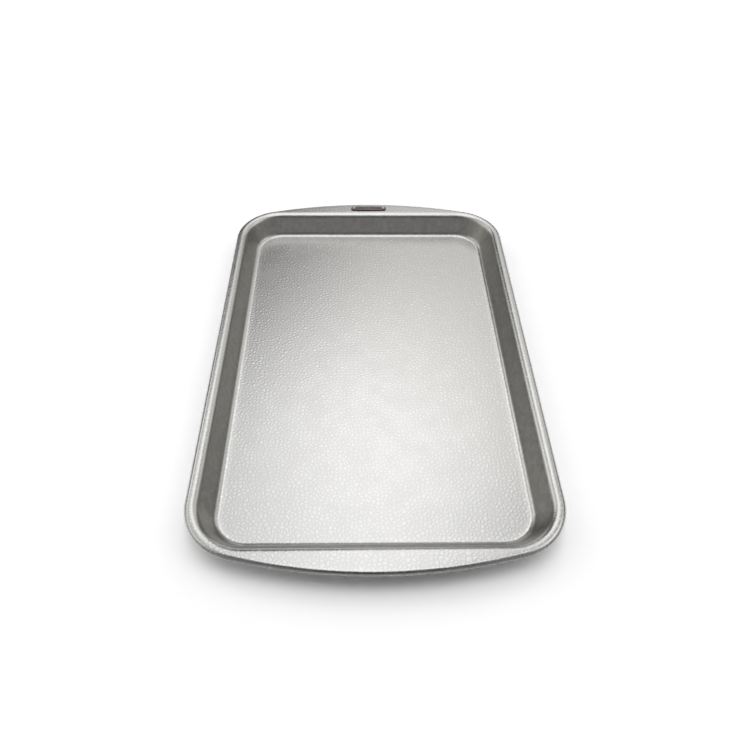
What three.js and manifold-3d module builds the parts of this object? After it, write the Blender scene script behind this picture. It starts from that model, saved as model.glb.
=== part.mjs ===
import * as THREE from 'three';
import { mergeVertices } from 'three/addons/utils/BufferGeometryUtils.js';
import Module from 'manifold-3d';

// A sheet cake pan pressed from one aluminium sheet: a flat floor, flared walls and a rim that widens into a
// bowed grip at each end. A bare oblong plate is riveted to one grip.
// Lengths are in millimetres and angles in degrees. +X runs across the pan, +Y along it towards the plate, and
// the underside of the floor lies in the plane z = 0.

// Sheet and opening. The opening is measured where the planes of the wall and the rim meet, and the depth is
// measured from there to the upper face of the floor.
const SHEET = 1.3;
const OPENING_WIDTH = 304.8;
const OPENING_LENGTH = 457.2;
const OPENING_CORNER_RADIUS = 43;
const PAN_DEPTH = 23.5;
const WALL_ANGLE = 63;

// Bends, as radii of the upper face.
const FLOOR_BEND = 7;
const RIM_BEND = 8;
const EDGE_BEND = 5;

// Rim. A reach is measured outwards from the opening.
const RIM_TILT = 1;
const SIDE_REACH = 10.5;
const GRIP_REACH = 24.5;
const EDGE_TURN = 55;
const LIP_LENGTH = 0.8;

// Plate and rivets. The inset is measured from the plate's end to the middle of the rivet.
const PLATE_LENGTH = 45;
const PLATE_WIDTH = 8;
const PLATE_BOW = 0.6;
const PLATE_THICKNESS = 0.8;
const RIVET_INSET = 4;
const SHANK_DIAMETER = 2.4;
const HEAD_DIAMETER = 4.2;
const HEAD_HEIGHT = 1.1;
const TAIL_DIAMETER = 4;
const TAIL_FACE_DIAMETER = 3.2;
const TAIL_HEIGHT = 0.8;
const SEAT_GAP = 0.3;
const SHANK_CLEARANCE = 0.3;

// Number of facets round the curves.
const CORNER_FACETS = 9;
const GRIP_HALF_FACETS = 7;
const BEND_FACETS = 4;
const ROUND_FACETS = 20;
const DOME_FACETS = 4;

const wallAngle = THREE.MathUtils.degToRad(WALL_ANGLE);
const rimTilt = THREE.MathUtils.degToRad(RIM_TILT);
const edgeTurn = THREE.MathUtils.degToRad(EDGE_TURN);

const aluminium = new THREE.MeshStandardMaterial({ color: 0xc9c9c6, roughness: 0.38, metalness: 1 });
const darkPlate = new THREE.MeshStandardMaterial({ color: 0x4a403d, roughness: 0.45, metalness: 0.6 });
const brightRivet = new THREE.MeshStandardMaterial({ color: 0xdadad8, roughness: 0.25, metalness: 1 });

const wasm = await Module();
wasm.setup();

function solidOf(geometry) {
  const bare = geometry.clone();
  bare.deleteAttribute('normal');
  bare.deleteAttribute('uv');
  const merged = mergeVertices(bare);
  return new wasm.Manifold(new wasm.Mesh({
    numProp: 3,
    vertProperties: new Float32Array(merged.attributes.position.array),
    triVerts: new Uint32Array(merged.index.array),
  }));
}

function geometryOf(solid) {
  const mesh = solid.getMesh();
  const geometry = new THREE.BufferGeometry();
  geometry.setAttribute('position', new THREE.BufferAttribute(mesh.vertProperties, 3));
  geometry.setIndex(new THREE.BufferAttribute(mesh.triVerts, 1));
  geometry.computeVertexNormals();
  return geometry;
}

function namedMesh(name, geometry, material) {
  const mesh = new THREE.Mesh(geometry, material);
  mesh.name = name;
  return mesh;
}

// Section of the pan, drawn from the floor outwards on the upper face. A bend's tangent length is what it takes
// off the two straight runs that it joins.
const floorTangent = FLOOR_BEND * Math.tan(wallAngle / 2);
const rimTangent = RIM_BEND * Math.tan((wallAngle - rimTilt) / 2);
const wallRun = PAN_DEPTH / Math.tan(wallAngle);
const wallLength = PAN_DEPTH / Math.sin(wallAngle) - floorTangent - rimTangent;
const edgeReach = EDGE_BEND * (Math.sin(rimTilt) + Math.sin(edgeTurn)) + LIP_LENGTH * Math.cos(edgeTurn);

function flangeLength(reach) {
  return (reach - edgeReach) / Math.cos(rimTilt) - rimTangent;
}

// Walks along the section with a heading above level, and keeps each point with its heading.
function sectionPoints(reach) {
  const points = [];
  const pen = { offset: -wallRun - floorTangent, height: SHEET, heading: 0 };
  const keep = () => points.push({ ...pen });
  const straight = (length) => {
    pen.offset += length * Math.cos(pen.heading);
    pen.height += length * Math.sin(pen.heading);
    keep();
  };
  const bend = (radius, toHeading) => {
    const from = { ...pen };
    const side = Math.sign(toHeading - from.heading);
    for (let i = 1; i <= BEND_FACETS; i += 1) {
      pen.heading = from.heading + ((toHeading - from.heading) * i) / BEND_FACETS;
      pen.offset = from.offset + side * radius * (Math.sin(pen.heading) - Math.sin(from.heading));
      pen.height = from.height + side * radius * (Math.cos(from.heading) - Math.cos(pen.heading));
      keep();
    }
  };
  keep();
  bend(FLOOR_BEND, wallAngle);
  straight(wallLength);
  bend(RIM_BEND, rimTilt);
  straight(flangeLength(reach));
  bend(EDGE_BEND, -edgeTurn);
  straight(LIP_LENGTH);
  return points;
}

// The closed section: upper face outwards, then the lower face, one sheet thickness away, back inwards.
function closedSection(reach) {
  const upper = sectionPoints(reach);
  const lower = upper.map((point) => ({
    offset: point.offset + SHEET * Math.sin(point.heading),
    height: point.height - SHEET * Math.cos(point.heading),
  }));
  return [...upper, ...lower.reverse()];
}

// Plan of the pan. Every section stands on an anchor point and looks along a plan direction, so that the opening
// lies one corner radius out from the anchors.
const cornerX = OPENING_WIDTH / 2 - OPENING_CORNER_RADIUS;
const cornerY = OPENING_LENGTH / 2 - OPENING_CORNER_RADIUS;
const outerCornerRadius = OPENING_CORNER_RADIUS + SIDE_REACH;
const gripTopY = OPENING_LENGTH / 2 + GRIP_REACH;

// The outer edge of a grip is one arc that runs smoothly into the two outer corners.
const gripRise = cornerY - gripTopY;
const gripArcRadius = (outerCornerRadius ** 2 - cornerX ** 2 - gripRise ** 2)
  / (2 * (gripRise + outerCornerRadius));
const gripArcY = gripTopY - gripArcRadius;
const cornerEndAngle = Math.atan2(cornerY - gripArcY, cornerX);

function gripReachFrom(x, y, directionX, directionY) {
  const along = directionX * x + directionY * (y - gripArcY);
  const squared = along ** 2 - x ** 2 - (y - gripArcY) ** 2 + gripArcRadius ** 2;
  return Math.sqrt(squared) - along - OPENING_CORNER_RADIUS;
}

function quarterStations() {
  const stations = [];
  for (let i = 0; i <= CORNER_FACETS; i += 1) {
    const angle = (Math.PI / 2) * (i / CORNER_FACETS);
    const directionX = Math.cos(angle);
    const directionY = Math.sin(angle);
    const reach = angle < cornerEndAngle
      ? SIDE_REACH
      : gripReachFrom(cornerX, cornerY, directionX, directionY);
    stations.push({ x: cornerX, y: cornerY, directionX, directionY, reach });
  }
  for (let i = 1; i < GRIP_HALF_FACETS; i += 1) {
    const x = cornerX * (1 - i / GRIP_HALF_FACETS);
    stations.push({ x, y: cornerY, directionX: 0, directionY: 1, reach: gripReachFrom(x, cornerY, 0, 1) });
  }
  return stations;
}

function loopStations() {
  const quarter = quarterStations();
  const middle = { x: 0, y: cornerY, directionX: 0, directionY: 1, reach: GRIP_REACH };
  const mirrored = quarter.map((s) => ({ ...s, x: -s.x, directionX: -s.directionX })).reverse();
  const half = [...quarter, middle, ...mirrored];
  const turned = half.map((s) => ({
    ...s, x: -s.x, y: -s.y, directionX: -s.directionX, directionY: -s.directionY,
  }));
  return [...half, ...turned];
}

function sheetGeometry() {
  const stations = loopStations();
  const sections = stations.map((station) => closedSection(station.reach));
  const ringCount = sections[0].length;
  const positions = [];
  for (let ring = 0; ring < ringCount; ring += 1) {
    stations.forEach((station, i) => {
      const { offset, height } = sections[i][ring];
      const distance = OPENING_CORNER_RADIUS + offset;
      positions.push(station.x + station.directionX * distance, station.y + station.directionY * distance, height);
    });
  }
  const topCentre = positions.length / 3;
  positions.push(0, 0, SHEET);
  const bottomCentre = topCentre + 1;
  positions.push(0, 0, 0);

  const count = stations.length;
  const lastRing = (ringCount - 1) * count;
  const index = [];
  for (let i = 0; i < count; i += 1) {
    const next = (i + 1) % count;
    index.push(topCentre, i, next);
    index.push(bottomCentre, lastRing + next, lastRing + i);
    for (let ring = 0; ring < ringCount - 1; ring += 1) {
      const inner = ring * count;
      const outer = inner + count;
      index.push(inner + i, outer + i, outer + next);
      index.push(inner + i, outer + next, inner + next);
    }
  }
  const geometry = new THREE.BufferGeometry();
  geometry.setAttribute('position', new THREE.Float32BufferAttribute(positions, 3));
  geometry.setIndex(index);
  return geometry;
}

// The plate's seat: the middle of the grip's upper face, with a frame whose z axis stands square to the grip.
const seatDistance = rimTangent + flangeLength(GRIP_REACH) / 2;
const seatFrame = new THREE.Matrix4().makeRotationX(rimTilt).setPosition(
  0,
  OPENING_LENGTH / 2 + seatDistance * Math.cos(rimTilt),
  SHEET + PAN_DEPTH + seatDistance * Math.sin(rimTilt),
);
const rivetX = PLATE_LENGTH / 2 - RIVET_INSET;
const rivetPlaces = [
  { name: 'rivet_left', x: -rivetX },
  { name: 'rivet_right', x: rivetX },
];
const holeRadius = SHANK_DIAMETER / 2 + SHANK_CLEARANCE;

function panBody() {
  const drillLength = 2 * (SHEET + SEAT_GAP);
  let solid = solidOf(sheetGeometry());
  rivetPlaces.forEach(({ x }) => {
    const drill = new THREE.CylinderGeometry(holeRadius, holeRadius, drillLength, ROUND_FACETS);
    drill.rotateX(Math.PI / 2);
    drill.translate(x, 0, 0);
    drill.applyMatrix4(seatFrame);
    solid = solid.subtract(solidOf(drill));
  });
  return namedMesh('pan_body', geometryOf(solid), aluminium);
}

// The plate's long edges bow out a little between its round ends.
function plateOutline() {
  const endRadius = PLATE_WIDTH / 2 - PLATE_BOW;
  const endX = PLATE_LENGTH / 2 - endRadius;
  const bowRadius = (endX ** 2 + PLATE_BOW ** 2) / (2 * PLATE_BOW) + endRadius;
  const bowY = PLATE_WIDTH / 2 - bowRadius;
  const bowAngle = Math.atan2(endX, -bowY);
  const quarterTurn = Math.PI / 2;
  const outline = new THREE.Shape();
  outline.absarc(0, bowY, bowRadius, quarterTurn - bowAngle, quarterTurn + bowAngle, false);
  outline.absarc(-endX, 0, endRadius, quarterTurn + bowAngle, 3 * quarterTurn - bowAngle, false);
  outline.absarc(0, -bowY, bowRadius, 3 * quarterTurn - bowAngle, 3 * quarterTurn + bowAngle, false);
  outline.absarc(endX, 0, endRadius, bowAngle - quarterTurn, quarterTurn - bowAngle, false);
  rivetPlaces.forEach(({ x }) => {
    outline.holes.push(new THREE.Path().absarc(x, 0, holeRadius, 0, 2 * Math.PI, true));
  });
  return outline;
}

function nameplate() {
  const geometry = new THREE.ExtrudeGeometry(plateOutline(), {
    depth: PLATE_THICKNESS,
    bevelEnabled: false,
    curveSegments: ROUND_FACETS / 2,
  });
  const mesh = namedMesh('nameplate', geometry, darkPlate);
  mesh.position.z = SEAT_GAP;
  return mesh;
}

// A rivet, turned about its own axis from the clinched tail below the grip to the domed head over the plate.
function rivet({ name, x }) {
  const tailSeat = -SHEET - SEAT_GAP;
  const headSeat = SEAT_GAP + PLATE_THICKNESS + SEAT_GAP;
  const outline = [
    new THREE.Vector2(0, tailSeat - TAIL_HEIGHT),
    new THREE.Vector2(TAIL_FACE_DIAMETER / 2, tailSeat - TAIL_HEIGHT),
    new THREE.Vector2(TAIL_DIAMETER / 2, tailSeat),
    new THREE.Vector2(SHANK_DIAMETER / 2, tailSeat),
    new THREE.Vector2(SHANK_DIAMETER / 2, headSeat),
  ];
  for (let i = 0; i < DOME_FACETS; i += 1) {
    const angle = (Math.PI / 2) * (i / DOME_FACETS);
    outline.push(new THREE.Vector2(
      (HEAD_DIAMETER / 2) * Math.cos(angle),
      headSeat + HEAD_HEIGHT * Math.sin(angle),
    ));
  }
  outline.push(new THREE.Vector2(0, headSeat + HEAD_HEIGHT));
  const geometry = new THREE.LatheGeometry(outline, ROUND_FACETS);
  geometry.rotateX(Math.PI / 2);
  const mesh = namedMesh(name, geometry, brightRivet);
  mesh.position.x = x;
  return mesh;
}

function plateGroup() {
  const group = new THREE.Group();
  group.applyMatrix4(seatFrame);
  group.add(nameplate(), ...rivetPlaces.map(rivet));
  return group;
}

const pan = new THREE.Group();
pan.add(panBody(), plateGroup());

export default pan;
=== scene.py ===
import math

import bmesh
import bpy
from mathutils import Matrix, Vector


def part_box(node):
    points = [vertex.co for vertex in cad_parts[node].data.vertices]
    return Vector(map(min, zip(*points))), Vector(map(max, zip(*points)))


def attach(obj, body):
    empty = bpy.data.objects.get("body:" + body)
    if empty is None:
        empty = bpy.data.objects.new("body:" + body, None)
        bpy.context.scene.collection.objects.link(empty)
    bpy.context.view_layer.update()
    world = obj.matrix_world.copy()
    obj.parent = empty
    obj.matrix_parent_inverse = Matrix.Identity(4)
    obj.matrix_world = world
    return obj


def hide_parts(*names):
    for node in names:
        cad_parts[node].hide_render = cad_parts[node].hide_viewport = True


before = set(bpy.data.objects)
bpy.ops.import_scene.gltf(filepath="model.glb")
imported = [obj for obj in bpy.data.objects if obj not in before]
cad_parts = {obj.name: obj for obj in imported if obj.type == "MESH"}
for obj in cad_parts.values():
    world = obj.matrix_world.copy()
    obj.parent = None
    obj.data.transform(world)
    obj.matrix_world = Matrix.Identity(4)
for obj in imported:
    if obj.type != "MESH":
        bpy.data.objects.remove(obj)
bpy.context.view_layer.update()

# Section of the sheet. A bend is given by the radius of its upper face. A reach is measured outwards from the
# opening, where the planes of the wall and the rim meet.
SHEET = 0.0013
PAN_DEPTH = 0.0235
WALL_ANGLE = math.radians(63)
FLOOR_BEND = 0.007
RIM_BEND = 0.008
EDGE_BEND = 0.005
RIM_TILT = math.radians(1)
EDGE_TURN = math.radians(55)
LIP_LENGTH = 0.0008
CUT_BEVEL = 0.00012
SIDE_REACH = 0.0105
GRIP_REACH = 0.0245
CORNER_RADIUS = 0.043

# Plate and rivets. The inset is measured from the plate's end to the middle of the rivet.
PLATE_LENGTH = 0.045
PLATE_WIDTH = 0.008
PLATE_BOW = 0.0006
PLATE_THICKNESS = 0.0008
PLATE_BEVEL = 0.00012
PLATE_BORDER = 0.0007
PLATE_RECESS = 0.00018
RIVET_INSET = 0.004
SHANK_RADIUS = 0.0012
HEAD_RADIUS = 0.0021
HEAD_HEIGHT = 0.0011
TAIL_RADIUS = 0.0020
TAIL_HEIGHT = 0.0008
TAIL_DIMPLE = 0.0009
SEAT_GAP = 0.0003
SHANK_CLEARANCE = 0.0003

# Number of steps along the curves and straight runs of the meshes.
CORNER_STEPS = 28
GRIP_HALF_STEPS = 36
SIDE_STEPS = 48
BEND_STEPS = 10
WALL_STEPS = 5
FLANGE_STEPS = 4
FLOOR_BANDS = 6
TURNED_STEPS = 48
PLATE_ARC_STEPS = 24

# Edges that turn by more than this stay sharp, and points that are closer than this are joined.
CREASE_ANGLE = math.radians(40)
JOIN_DISTANCE = SHEET / 1000

# Name of the texture map that unrolls the pan into the flat sheet.
FLAT_MAP = "flat_sheet"

# Camera, found from the pan's outline in the picture. The picture is square.
PICTURE_PIXELS = 736
FOCAL_PIXELS = 647.7
CAMERA_PLACE = Vector((-0.01587, -0.47089, 0.51086))
CAMERA_PITCH = math.radians(48.105)
CAMERA_YAW = math.radians(1.487)
CAMERA_ROLL = math.radians(-0.921)

_, pan_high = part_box("pan_body")
half_width = pan_high.x - SIDE_REACH
half_length = pan_high.y - GRIP_REACH
corner_x = half_width - CORNER_RADIUS
corner_y = half_length - CORNER_RADIUS

rim_top = SHEET + PAN_DEPTH
floor_tangent = FLOOR_BEND * math.tan(WALL_ANGLE / 2)
rim_tangent = RIM_BEND * math.tan((WALL_ANGLE - RIM_TILT) / 2)
wall_run = PAN_DEPTH / math.tan(WALL_ANGLE)
wall_length = PAN_DEPTH / math.sin(WALL_ANGLE) - floor_tangent - rim_tangent
edge_reach = EDGE_BEND * (math.sin(RIM_TILT) + math.sin(EDGE_TURN)) + LIP_LENGTH * math.cos(EDGE_TURN)


def flange_length(reach):
    return (reach - edge_reach) / math.cos(RIM_TILT) - rim_tangent


def upper_face(reach):
    """Points (offset, height, heading, run) along the sheet's upper face, from the floor outwards."""
    offset = -wall_run - floor_tangent
    height = SHEET
    heading = 0.0
    run = 0.0
    points = [(offset, height, heading, run)]

    def straight(length, steps):
        nonlocal offset, height, run
        for _ in range(steps):
            offset += length / steps * math.cos(heading)
            height += length / steps * math.sin(heading)
            run += length / steps
            points.append((offset, height, heading, run))

    def bend(radius, to_heading):
        nonlocal offset, height, heading, run
        start = heading
        signed_radius = math.copysign(radius, to_heading - start)
        for step in range(1, BEND_STEPS + 1):
            turned = start + (to_heading - start) * step / BEND_STEPS
            offset += signed_radius * (math.sin(turned) - math.sin(heading))
            height += signed_radius * (math.cos(heading) - math.cos(turned))
            run += signed_radius * (turned - heading)
            heading = turned
            points.append((offset, height, heading, run))

    bend(FLOOR_BEND, WALL_ANGLE)
    straight(wall_length, WALL_STEPS)
    bend(RIM_BEND, RIM_TILT)
    straight(flange_length(reach), FLANGE_STEPS)
    bend(EDGE_BEND, -EDGE_TURN)
    straight(LIP_LENGTH - CUT_BEVEL, 1)
    return points


def sheet_section(reach):
    """The section (offset, height, run): upper face outwards, over the cut edge, lower face back."""
    upper = upper_face(reach)
    offset, height, heading, run = upper[-1]
    edge = []
    for depth in (CUT_BEVEL, SHEET - CUT_BEVEL):
        edge.append((
            offset + CUT_BEVEL * math.cos(heading) + depth * math.sin(heading),
            height + CUT_BEVEL * math.sin(heading) - depth * math.cos(heading),
            run + CUT_BEVEL,
        ))
    lower = [(o + SHEET * math.sin(h), z - SHEET * math.cos(h), r) for o, z, h, r in reversed(upper)]
    return [(o, z, r) for o, z, h, r in upper] + edge + lower


# Plan of the pan. Every section stands on an anchor point and looks along a plan direction. The outer edge
# of a grip is one arc that runs smoothly into the two outer corners.
outer_corner = CORNER_RADIUS + SIDE_REACH
grip_top = half_length + GRIP_REACH
grip_rise = corner_y - grip_top
grip_arc_radius = (outer_corner**2 - corner_x**2 - grip_rise**2) / (2 * (grip_rise + outer_corner))
grip_arc_y = grip_top - grip_arc_radius
corner_end_angle = math.atan2(corner_y - grip_arc_y, corner_x)


def grip_reach_from(x, y, direction):
    along = direction[0] * x + direction[1] * (y - grip_arc_y)
    squared = along**2 - x**2 - (y - grip_arc_y) ** 2 + grip_arc_radius**2
    return math.sqrt(squared) - along - CORNER_RADIUS


def half_loop():
    """Stations (x, y, direction, reach) up the right side and round the far end to the left side."""
    stations = []
    for step in range(1, SIDE_STEPS):
        y = corner_y * (2 * step / SIDE_STEPS - 1)
        stations.append((corner_x, y, (1.0, 0.0), SIDE_REACH))
    quarter = []
    for step in range(CORNER_STEPS + 1):
        angle = math.pi / 2 * step / CORNER_STEPS
        direction = (math.cos(angle), math.sin(angle))
        reach = SIDE_REACH
        if angle > corner_end_angle:
            reach = grip_reach_from(corner_x, corner_y, direction)
        quarter.append((corner_x, corner_y, direction, reach))
    for step in range(1, GRIP_HALF_STEPS + 1):
        x = corner_x * (1 - step / GRIP_HALF_STEPS)
        quarter.append((x, corner_y, (0.0, 1.0), grip_reach_from(x, corner_y, (0.0, 1.0))))
    mirrored = [(-x, y, (-d[0], d[1]), reach) for x, y, d, reach in reversed(quarter[:-1])]
    return stations + quarter + mirrored


def whole_loop():
    half = half_loop()
    return half + [(-x, -y, (-d[0], -d[1]), reach) for x, y, d, reach in half]


def add_rings(mesh, rings):
    """Joins rings of equally many points, each to the next, with faces."""
    made = [[mesh.verts.new(point) for point in ring] for ring in rings]
    for inner, outer in zip(made, made[1:]):
        for i in range(len(inner)):
            j = (i + 1) % len(inner)
            mesh.faces.new((inner[i], outer[i], outer[j], inner[j]))
    return made


def add_floor_grid(mesh, height, looks_up):
    """The middle of the floor, between the four anchors."""
    columns = 2 * GRIP_HALF_STEPS
    grid = []
    for row in range(SIDE_STEPS + 1):
        y = corner_y * (2 * row / SIDE_STEPS - 1)
        grid.append([
            mesh.verts.new((corner_x * (2 * column / columns - 1), y, height))
            for column in range(columns + 1)
        ])
    for near, far in zip(grid, grid[1:]):
        for column in range(columns):
            corners = [near[column], near[column + 1], far[column + 1], far[column]]
            mesh.faces.new(corners if looks_up else corners[::-1])


def finished_object(name, mesh, materials):
    """Turns a bmesh into a smooth-shaded object, with its creases kept sharp."""
    bmesh.ops.recalc_face_normals(mesh, faces=mesh.faces)
    data = bpy.data.meshes.new(name)
    mesh.to_mesh(data)
    mesh.free()
    for material in materials:
        data.materials.append(material)
    data.shade_smooth()
    data.set_sharp_from_angle(angle=CREASE_ANGLE)
    piece = bpy.data.objects.new(name, data)
    bpy.context.scene.collection.objects.link(piece)
    return piece


def map_flat_sheet(mesh, rings, flat_places):
    """Gives every corner its place on the flat sheet that the pan was pressed from, as a texture map."""
    flat = {vert: vert.co.xy for vert in mesh.verts}
    for ring, places in zip(rings, flat_places):
        flat.update(zip(ring, places))
    flat_map = mesh.loops.layers.uv.new(FLAT_MAP)
    for face in mesh.faces:
        for corner in face.loops:
            corner[flat_map].uv = flat[corner.vert]


def sheet_mesh():
    """The pressed sheet before it is punched, as one closed skin."""
    stations = whole_loop()
    sections = [sheet_section(reach) for _, _, _, reach in stations]
    floor_edge = CORNER_RADIUS - wall_run - floor_tangent
    bands = [floor_edge * band / FLOOR_BANDS for band in range(FLOOR_BANDS)]
    rings = []
    for distance in bands:
        rings.append([(x + d[0] * distance, y + d[1] * distance, SHEET) for x, y, d, _ in stations])
    flat_places = []
    for index in range(len(sections[0])):
        ring = []
        flat_ring = []
        for (x, y, direction, _), section in zip(stations, sections):
            offset, height, run = section[index]
            distance = CORNER_RADIUS + offset
            ring.append((x + direction[0] * distance, y + direction[1] * distance, height))
            flat_distance = floor_edge + run
            flat_ring.append((x + direction[0] * flat_distance, y + direction[1] * flat_distance))
        rings.append(ring)
        flat_places.append(flat_ring)
    for distance in reversed(bands):
        rings.append([(x + d[0] * distance, y + d[1] * distance, 0.0) for x, y, d, _ in stations])
    mesh = bmesh.new()
    made = add_rings(mesh, rings)
    add_floor_grid(mesh, SHEET, looks_up=True)
    add_floor_grid(mesh, 0.0, looks_up=False)
    map_flat_sheet(mesh, made[len(bands):], flat_places)
    bmesh.ops.remove_doubles(mesh, verts=mesh.verts, dist=JOIN_DISTANCE)
    return mesh


# The plate's seat: the middle of the far grip's upper face, in a frame whose z axis stands square to it.
seat_distance = rim_tangent + flange_length(GRIP_REACH) / 2
seat_place = Vector((
    0,
    half_length + seat_distance * math.cos(RIM_TILT),
    rim_top + seat_distance * math.sin(RIM_TILT),
))
seat_frame = Matrix.Translation(seat_place) @ Matrix.Rotation(RIM_TILT, 4, "X")
rivet_x = PLATE_LENGTH / 2 - RIVET_INSET


def turned_mesh(outline):
    """A solid turned about z from an outline of (radius, height) that starts and ends on the axis."""
    mesh = bmesh.new()
    rings = []
    for radius, height in outline[1:-1]:
        ring = []
        for step in range(TURNED_STEPS):
            angle = 2 * math.pi * step / TURNED_STEPS
            ring.append((radius * math.cos(angle), radius * math.sin(angle), height))
        rings.append(ring)
    made = add_rings(mesh, rings)
    for ring, (_, height) in ((made[0], outline[0]), (made[-1], outline[-1])):
        tip = mesh.verts.new((0, 0, height))
        for i in range(TURNED_STEPS):
            mesh.faces.new((ring[i], ring[(i + 1) % TURNED_STEPS], tip))
    return mesh


def punch_rivet_holes(piece, frame_of_holes):
    """Cuts the two rivet holes through a piece."""
    radius = SHANK_RADIUS + SHANK_CLEARANCE
    reach = 2 * (SHEET + SEAT_GAP)
    for x in (-rivet_x, rivet_x):
        drill = turned_mesh([(0, -reach), (radius, -reach), (radius, reach), (0, reach)])
        drill.transform(frame_of_holes @ Matrix.Translation((x, 0, 0)))
        cutter = finished_object("drill", drill, [])
        cut = piece.modifiers.new("hole", "BOOLEAN")
        cut.operation = "DIFFERENCE"
        cut.solver = "EXACT"
        cut.object = cutter
        with bpy.context.temp_override(object=piece, active_object=piece):
            bpy.ops.object.modifier_apply(modifier=cut.name)
        bpy.data.objects.remove(cutter)


def make_pan(material):
    piece = finished_object("pan_body_dressed", sheet_mesh(), [material])
    punch_rivet_holes(piece, seat_frame)
    return piece


def plate_loop(inset, height):
    """The plate's outline, drawn in by an inset: two bowed long edges and two round ends."""
    end_radius = PLATE_WIDTH / 2 - PLATE_BOW
    end_x = PLATE_LENGTH / 2 - end_radius
    bow_radius = (end_x**2 + PLATE_BOW**2) / (2 * PLATE_BOW) + end_radius
    bow_y = PLATE_WIDTH / 2 - bow_radius
    bow_angle = math.atan2(end_x, -bow_y)
    quarter = math.pi / 2
    arcs = (
        (0, bow_y, bow_radius, quarter - bow_angle, quarter + bow_angle),
        (-end_x, 0, end_radius, quarter + bow_angle, 3 * quarter - bow_angle),
        (0, -bow_y, bow_radius, 3 * quarter - bow_angle, 3 * quarter + bow_angle),
        (end_x, 0, end_radius, bow_angle - quarter, quarter - bow_angle),
    )
    points = []
    for x, y, radius, start, end in arcs:
        for step in range(PLATE_ARC_STEPS):
            angle = start + (end - start) * step / PLATE_ARC_STEPS
            points.append((
                x + (radius - inset) * math.cos(angle),
                y + (radius - inset) * math.sin(angle),
                height,
            ))
    return points


def make_plate(material):
    """A stamped plate: bevelled edges, a raised border and a bare field a little lower."""
    low = SEAT_GAP
    high = SEAT_GAP + PLATE_THICKNESS
    mesh = bmesh.new()
    made = add_rings(mesh, [
        plate_loop(PLATE_BEVEL, low),
        plate_loop(0, low + PLATE_BEVEL),
        plate_loop(0, high - PLATE_BEVEL),
        plate_loop(PLATE_BEVEL, high),
        plate_loop(PLATE_BORDER, high),
        plate_loop(PLATE_BORDER + PLATE_RECESS, high - PLATE_RECESS),
    ])
    mesh.faces.new(made[0])
    mesh.faces.new(made[-1])
    mesh.transform(seat_frame)
    piece = finished_object("nameplate_dressed", mesh, [material])
    punch_rivet_holes(piece, seat_frame)
    return piece


def make_rivet(name, x, material):
    """A rivet with a domed head over the plate, and a clinched, dimpled tail below the grip."""
    tail_seat = -SHEET - SEAT_GAP
    head_seat = 2 * SEAT_GAP + PLATE_THICKNESS - PLATE_RECESS
    dome_height = HEAD_HEIGHT + PLATE_RECESS
    tail_end = tail_seat - TAIL_HEIGHT
    outline = [
        (0, tail_end + TAIL_HEIGHT / 2),
        (TAIL_DIMPLE / 2, tail_end + TAIL_HEIGHT / 2),
        (TAIL_DIMPLE, tail_end),
    ]
    for step in range(BEND_STEPS + 1):
        angle = math.pi / 2 * step / BEND_STEPS
        outline.append((
            TAIL_RADIUS - TAIL_HEIGHT / 2 * (1 - math.sin(angle)),
            tail_end + TAIL_HEIGHT / 2 * (1 - math.cos(angle)),
        ))
    outline.append((TAIL_RADIUS, tail_seat))
    outline.append((SHANK_RADIUS, tail_seat))
    outline.append((SHANK_RADIUS, head_seat))
    for step in range(BEND_STEPS):
        angle = math.pi / 2 * step / BEND_STEPS
        outline.append((HEAD_RADIUS * math.cos(angle), head_seat + dome_height * math.sin(angle)))
    outline.append((0, head_seat + dome_height))
    mesh = turned_mesh(outline)
    mesh.transform(seat_frame @ Matrix.Translation((x, 0, 0)))
    return finished_object(name, mesh, [material])


class NodeTree:
    """A short way to write node trees: made nodes take their settings and inputs by name."""

    def __init__(self, tree):
        self.tree = tree
        tree.nodes.clear()

    def add(self, kind, settings=None, **inputs):
        made = self.tree.nodes.new(kind)
        for name, value in (settings or {}).items():
            setattr(made, name, value)
        for name, value in inputs.items():
            self.feed(made.inputs[name.replace("_", " ")], value)
        return made

    def feed(self, socket, value):
        if isinstance(value, bpy.types.NodeSocket):
            self.tree.links.new(value, socket)
        else:
            socket.default_value = value

    def math(self, operation, *values):
        made = self.add("ShaderNodeMath", {"operation": operation})
        for socket, value in zip(made.inputs, values):
            self.feed(socket, value)
        return made.outputs[0]

    def vector(self, operation, *values):
        made = self.add("ShaderNodeVectorMath", {"operation": operation})
        for socket, value in zip(made.inputs, values):
            self.feed(socket, value)
        return made.outputs["Value" if operation in ("DOT_PRODUCT", "LENGTH") else "Vector"]

    def smooth(self, value, start, end, low=0.0, high=1.0):
        """Goes smoothly from low to high as the value goes from start to end."""
        made = self.add("ShaderNodeMapRange", {"interpolation_type": "SMOOTHSTEP"})
        for name, given in (
            ("Value", value), ("From Min", start), ("From Max", end), ("To Min", low), ("To Max", high),
        ):
            self.feed(made.inputs[name], given)
        return made.outputs["Result"]

    def noise(self, place, scale, detail=2.0):
        made = self.add("ShaderNodeTexNoise", Vector=place, Scale=scale, Detail=detail)
        return made.outputs["Fac"]

    def mix(self, factor, first, second):
        made = self.add("ShaderNodeMix", {"data_type": "RGBA"})
        self.feed(made.inputs["Factor"], factor)
        for name, value in (("A", first), ("B", second)):
            socket = next(s for s in made.inputs if s.name == name and s.type == "RGBA")
            self.feed(socket, value)
        return next(s for s in made.outputs if s.type == "RGBA")


def new_material(name, kind="ShaderNodeBsdfPrincipled"):
    material = bpy.data.materials.new(name)
    material.use_nodes = True
    nodes = NodeTree(material.node_tree)
    shader = nodes.add(kind)
    output = nodes.add("ShaderNodeOutputMaterial")
    nodes.feed(output.inputs["Surface"], shader.outputs["BSDF"])
    place = nodes.add("ShaderNodeTexCoord").outputs["Object"]
    return material, nodes, shader, place


# Values between which most of a noise texture lies.
NOISE_LOW = 0.3
NOISE_HIGH = 0.7

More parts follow.
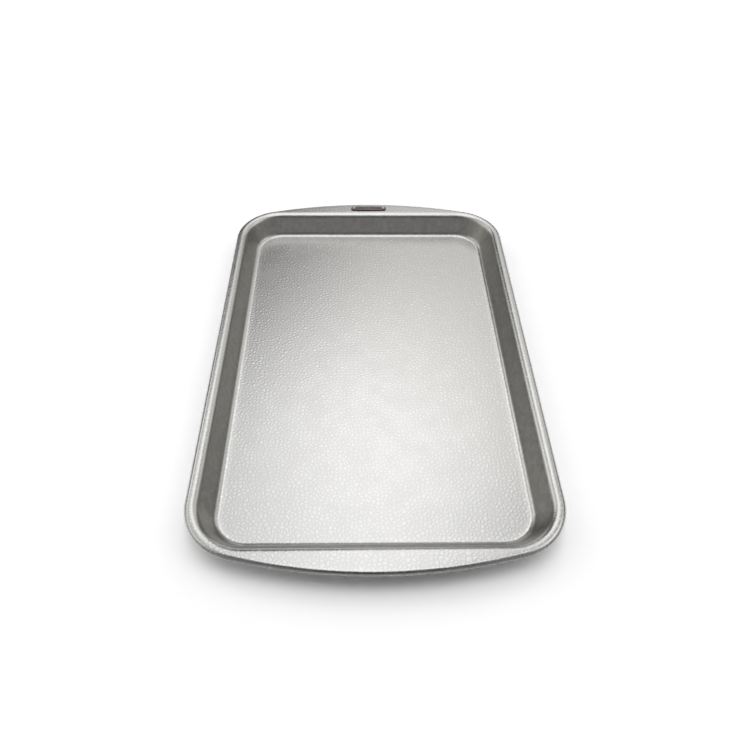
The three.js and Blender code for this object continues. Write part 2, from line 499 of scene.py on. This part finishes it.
# Pan metal. The sheet is embossed while it is flat with low pebbles, each a little higher or lower than the
# next and parted by grooves, which are painted darker as painted shade. Shoulders and the groove shade are
# given as shares of the pitch.
PEBBLE_PITCH = 0.0038
PEBBLE_RELIEF = 0.000037
PEBBLE_SHOULDER = 0.50
PEBBLE_WANDER = 0.0012
WANDER_PITCH = 2 * PEBBLE_PITCH
PEBBLE_LOWEST = 0.6
PEBBLE_HIGHEST = 1.4
GROOVE_SHADE_WIDTH = 0.34
SATIN_GRAIN = 0.0006
SATIN_RELIEF = 0.000002
SATIN_PATCH_SCALE = 45.0
SATIN_PATCH_DETAIL = 3.0
SATIN_SMOOTHEST = 0.25
SATIN_ROUGHEST = 0.28
METAL_BRIGHT = (0.590, 0.590, 0.584, 1)
METAL_DULL = (0.564, 0.563, 0.557, 1)
# Painted shade in the grooves between pebbles.
GROOVE_SHADE_COLOUR = (0.520, 0.518, 0.511, 1)

# The press stretches the walls, which come out rougher and so duller. Their darker, warmer colour is painted
# shade on the walls. A face counts as wall by the part of its normal that points to the middle of the pan,
# times its distance from there. The rough metal and the painted shade fade out between the mask's top and the
# top of the rim.
DRAWN_AND_SHADED_START = 0.05
DRAWN_AND_SHADED_FULL = 0.14
DRAWN_AND_SHADED_TOP = 0.0215
# Painted shade: wall colours, darker and warmer than the floor's metal.
SHADED_WALL_BRIGHT = (0.520, 0.513, 0.495, 1)
SHADED_WALL_DULL = (0.437, 0.429, 0.411, 1)
DRAWN_ROUGHNESS = 0.11


def pan_metal():
    material, nodes, shader, place = new_material("pan_aluminium")
    flat = nodes.add("ShaderNodeUVMap", {"uv_map": FLAT_MAP}).outputs["UV"]
    wander = nodes.add("ShaderNodeTexNoise", Vector=flat, Scale=1 / WANDER_PITCH).outputs["Color"]
    centred = nodes.vector("SUBTRACT", wander, (0.5, 0.5, 0.5))
    wander_size = (PEBBLE_WANDER, PEBBLE_WANDER, 0.0)
    wandered = nodes.vector("MULTIPLY_ADD", centred, wander_size, flat)

    def cells(feature):
        settings = {"voronoi_dimensions": "2D", "feature": feature}
        made = nodes.add("ShaderNodeTexVoronoi", settings, Vector=wandered, Scale=1 / PEBBLE_PITCH)
        return made.outputs

    to_groove = cells("DISTANCE_TO_EDGE")["Distance"]
    chance = nodes.vector("DOT_PRODUCT", cells("F1")["Color"], (1.0, 0.0, 0.0))
    pillow = nodes.smooth(to_groove, 0.0, PEBBLE_SHOULDER)
    pebble_height = nodes.smooth(chance, 0.0, 1.0, PEBBLE_LOWEST, PEBBLE_HIGHEST)
    relief = nodes.math("MULTIPLY", pillow, pebble_height)
    grain = nodes.noise(place, 1 / SATIN_GRAIN)
    satin = nodes.add("ShaderNodeBump", Height=grain, Distance=SATIN_RELIEF).outputs["Normal"]
    emboss = nodes.add("ShaderNodeBump", Height=relief, Distance=PEBBLE_RELIEF, Normal=satin)
    nodes.feed(shader.inputs["Normal"], emboss.outputs["Normal"])

    facing = nodes.add("ShaderNodeTexCoord").outputs["Normal"]
    to_middle = nodes.vector("MULTIPLY", place, (-1.0, -1.0, 0.0))
    inward = nodes.vector("DOT_PRODUCT", facing, to_middle)
    leaning = nodes.smooth(inward, DRAWN_AND_SHADED_START, DRAWN_AND_SHADED_FULL)
    height_up = nodes.vector("DOT_PRODUCT", place, (0.0, 0.0, 1.0))
    below_rim = nodes.smooth(height_up, DRAWN_AND_SHADED_TOP, rim_top, 1.0, 0.0)
    # This wall mask carries both the rougher drawn metal and the painted shade on the walls.
    drawn_and_shaded = nodes.math("MULTIPLY", leaning, below_rim)

    # Painted shade: the grooves get a darker colour than the pebbles.
    groove_shade_mask = nodes.smooth(to_groove, 0.0, GROOVE_SHADE_WIDTH, 1.0, 0.0)
    pebble_tone = nodes.mix(chance, METAL_DULL, METAL_BRIGHT)
    pebble_tone_with_groove_shade = nodes.mix(groove_shade_mask, pebble_tone, GROOVE_SHADE_COLOUR)
    # Painted shade: the walls take the darker wall colours.
    shaded_wall_tone = nodes.mix(chance, SHADED_WALL_DULL, SHADED_WALL_BRIGHT)
    nodes.feed(shader.inputs["Base Color"], nodes.mix(drawn_and_shaded, pebble_tone_with_groove_shade, shaded_wall_tone))

    patches = nodes.noise(place, SATIN_PATCH_SCALE, SATIN_PATCH_DETAIL)
    satin_spread = nodes.smooth(patches, NOISE_LOW, NOISE_HIGH, SATIN_SMOOTHEST, SATIN_ROUGHEST)
    roughness = nodes.math("MULTIPLY_ADD", drawn_and_shaded, DRAWN_ROUGHNESS, satin_spread)
    nodes.feed(shader.inputs["Roughness"], roughness)
    shader.inputs["Metallic"].default_value = 1.0
    return material


# Plate paint: a dark coat over brushed metal, paler where it is worn.
PLATE_PAINT = (0.185, 0.149, 0.140, 1)
PLATE_PAINT_WORN = (0.245, 0.207, 0.198, 1)
PLATE_METALLIC = 0.5
PLATE_SMOOTHEST = 0.32
PLATE_ROUGHEST = 0.48
BRUSH_SCALE = (60.0, 4000.0, 4000.0)
BRUSH_DETAIL = 3.0
BRUSH_RELIEF = 0.000004
WEAR_SCALE = 260.0
WEAR_DETAIL = 4.0
WEAR_START = 0.4
WEAR_FULL = 0.75


def plate_paint():
    material, nodes, shader, place = new_material("plate_dark")
    streaks = nodes.noise(nodes.vector("MULTIPLY", place, BRUSH_SCALE), 1.0, BRUSH_DETAIL)
    worn = nodes.smooth(nodes.noise(place, WEAR_SCALE, WEAR_DETAIL), WEAR_START, WEAR_FULL)
    roughness = nodes.smooth(streaks, NOISE_LOW, NOISE_HIGH, PLATE_SMOOTHEST, PLATE_ROUGHEST)
    brush = nodes.add("ShaderNodeBump", Height=streaks, Distance=BRUSH_RELIEF)
    nodes.feed(shader.inputs["Base Color"], nodes.mix(worn, PLATE_PAINT, PLATE_PAINT_WORN))
    nodes.feed(shader.inputs["Roughness"], roughness)
    nodes.feed(shader.inputs["Normal"], brush.outputs["Normal"])
    shader.inputs["Metallic"].default_value = PLATE_METALLIC
    return material


# Rivet metal: bare, with fine marks from the hammer.
RIVET_BRIGHT = (0.56, 0.56, 0.55, 1)
RIVET_DULL = (0.42, 0.42, 0.41, 1)
RIVET_SMOOTHEST = 0.30
RIVET_ROUGHEST = 0.44
MARK_SCALE = 1800.0
MARK_DETAIL = 4.0
MARK_RELIEF = 0.00001


def rivet_metal():
    material, nodes, shader, place = new_material("rivet_bright")
    marks = nodes.noise(place, MARK_SCALE, MARK_DETAIL)
    roughness = nodes.smooth(marks, NOISE_LOW, NOISE_HIGH, RIVET_SMOOTHEST, RIVET_ROUGHEST)
    hammered = nodes.add("ShaderNodeBump", Height=marks, Distance=MARK_RELIEF)
    nodes.feed(shader.inputs["Base Color"], nodes.mix(marks, RIVET_DULL, RIVET_BRIGHT))
    nodes.feed(shader.inputs["Roughness"], roughness)
    nodes.feed(shader.inputs["Normal"], hammered.outputs["Normal"])
    shader.inputs["Metallic"].default_value = 1.0
    return material


# Studio light, as soft round pools in the world round the pan. Azimuth 0 lies along +Y and 90 along +X, in
# degrees. Each pool has its full radiance inside the inner angle and fades out at the outer angle. A negative
# one takes light away. The mirror pools are added in what metal shows: a dimmer top and pale sides. To the
# camera the room is plain white.
DIM_ROOM = (0.005, 0.005, 0.005)
LIGHT_POOLS = (
    # azimuth, elevation, inner angle, outer angle, radiance
    (0, 88, 9, 24, (2.65, 2.65, 2.70)),
    (-6, 59, 4, 22, (1.09, 1.09, 1.11)),
    (12, 45, 3, 27, (0.95, 0.94, 0.91)),
    (-77, 40, 0, 38, (0.86, 0.85, 0.81)),
    (83, 49, 0, 28, (1.36, 1.35, 1.30)),
    (-3, 3, 0, 23, (1.00, 1.00, 1.00)),
    (-41, 36, 0, 19, (1.06, 1.05, 1.02)),
    (44, 28, 0, 20, (0.96, 0.95, 0.90)),
    (180, 11, 0, 27, (0.35, 0.35, 0.36)),
    (-17, 37, 0, 17, (-0.55, -0.55, -0.54)),
)
MIRROR_DIM = (0.02, 0.02, 0.02)
MIRROR_POOLS = (
    (0, 88, 9, 24, (-0.90, -0.90, -0.92)),
    (115, 15, 20, 60, (0.26, 0.26, 0.25)),
    (-115, 15, 20, 60, (0.26, 0.26, 0.25)),
)
BACKDROP_WHITE = (1, 1, 1, 1)


def direction_to(azimuth, elevation):
    across = math.radians(azimuth)
    up = math.radians(elevation)
    return Vector((math.sin(across) * math.cos(up), math.cos(across) * math.cos(up), math.sin(up)))


def pool_light(nodes, looking, dim, pools):
    """The radiance that comes from a direction: the dim room and every pool that reaches there."""
    light = dim
    for azimuth, elevation, inner, outer, radiance in pools:
        nearness = nodes.vector("DOT_PRODUCT", looking, direction_to(azimuth, elevation))
        share = nodes.smooth(nearness, math.cos(math.radians(outer)), math.cos(math.radians(inner)))
        light = nodes.vector("MULTIPLY_ADD", share, radiance, light)
    return light


def mirrored_ray(nodes, rays):
    """1 for a ray that a surface mirrored or let through, and 0 for any other."""
    return nodes.math("MAXIMUM", rays["Is Glossy Ray"], rays["Is Transmission Ray"])


def light_world():
    world = bpy.data.worlds.new("studio")
    bpy.context.scene.world = world
    world.use_nodes = True
    nodes = NodeTree(world.node_tree)
    looking = nodes.add("ShaderNodeTexCoord").outputs["Generated"]
    rays = nodes.add("ShaderNodeLightPath").outputs
    lamps = pool_light(nodes, looking, DIM_ROOM, LIGHT_POOLS)
    in_metal = pool_light(nodes, looking, MIRROR_DIM, MIRROR_POOLS)
    light = nodes.vector("MULTIPLY_ADD", in_metal, mirrored_ray(nodes, rays), lamps)
    kept = nodes.vector("MAXIMUM", light, (0, 0, 0))
    room = nodes.mix(rays["Is Camera Ray"], kept, BACKDROP_WHITE)
    background = nodes.add("ShaderNodeBackground", Color=room)
    output = nodes.add("ShaderNodeOutputWorld")
    nodes.feed(output.inputs["Surface"], background.outputs["Background"])


# The floor lights the pan as white paper does. Where it is looked at, or shows in metal, it is lifted to a
# full white, and the shadow keeps its share of that.
FLOOR_HALF = 30.0
FLOOR_WHITE = (0.96, 0.96, 0.96, 1)
FLOOR_SEEN = (1.475, 1.48, 1.495, 1)


def lay_floor():
    mesh = bmesh.new()
    bmesh.ops.create_grid(mesh, x_segments=1, y_segments=1, size=FLOOR_HALF)
    material, nodes, shader, _ = new_material("floor_white", "ShaderNodeBsdfDiffuse")
    rays = nodes.add("ShaderNodeLightPath").outputs
    seen = nodes.math("MAXIMUM", rays["Is Camera Ray"], mirrored_ray(nodes, rays))
    nodes.feed(shader.inputs["Color"], nodes.mix(seen, FLOOR_WHITE, FLOOR_SEEN))
    ground = finished_object("floor", mesh, [material])


def place_camera():
    data = bpy.data.cameras.new("camera")
    data.sensor_fit = "HORIZONTAL"
    data.lens = data.sensor_width * FOCAL_PIXELS / PICTURE_PIXELS
    forward = Vector((
        math.sin(CAMERA_YAW) * math.cos(CAMERA_PITCH),
        math.cos(CAMERA_YAW) * math.cos(CAMERA_PITCH),
        -math.sin(CAMERA_PITCH),
    ))
    level = Vector((math.cos(CAMERA_YAW), -math.sin(CAMERA_YAW), 0))
    down = forward.cross(level)
    right = math.cos(CAMERA_ROLL) * level + math.sin(CAMERA_ROLL) * down
    up = right.cross(forward)
    camera = bpy.data.objects.new("camera", data)
    turn = Matrix((right, up, -forward)).transposed().to_4x4()
    camera.matrix_world = Matrix.Translation(CAMERA_PLACE) @ turn
    bpy.context.scene.collection.objects.link(camera)
    bpy.context.scene.camera = camera


def dress(piece, node):
    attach(piece, "root")
    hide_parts(node)


rivet_finish = rivet_metal()
dress(make_pan(pan_metal()), "pan_body")
dress(make_plate(plate_paint()), "nameplate")
dress(make_rivet("rivet_left_dressed", -rivet_x, rivet_finish), "rivet_left")
dress(make_rivet("rivet_right_dressed", rivet_x, rivet_finish), "rivet_right")
lay_floor()
light_world()
place_camera()
bpy.context.scene.view_settings.view_transform = "Standard"
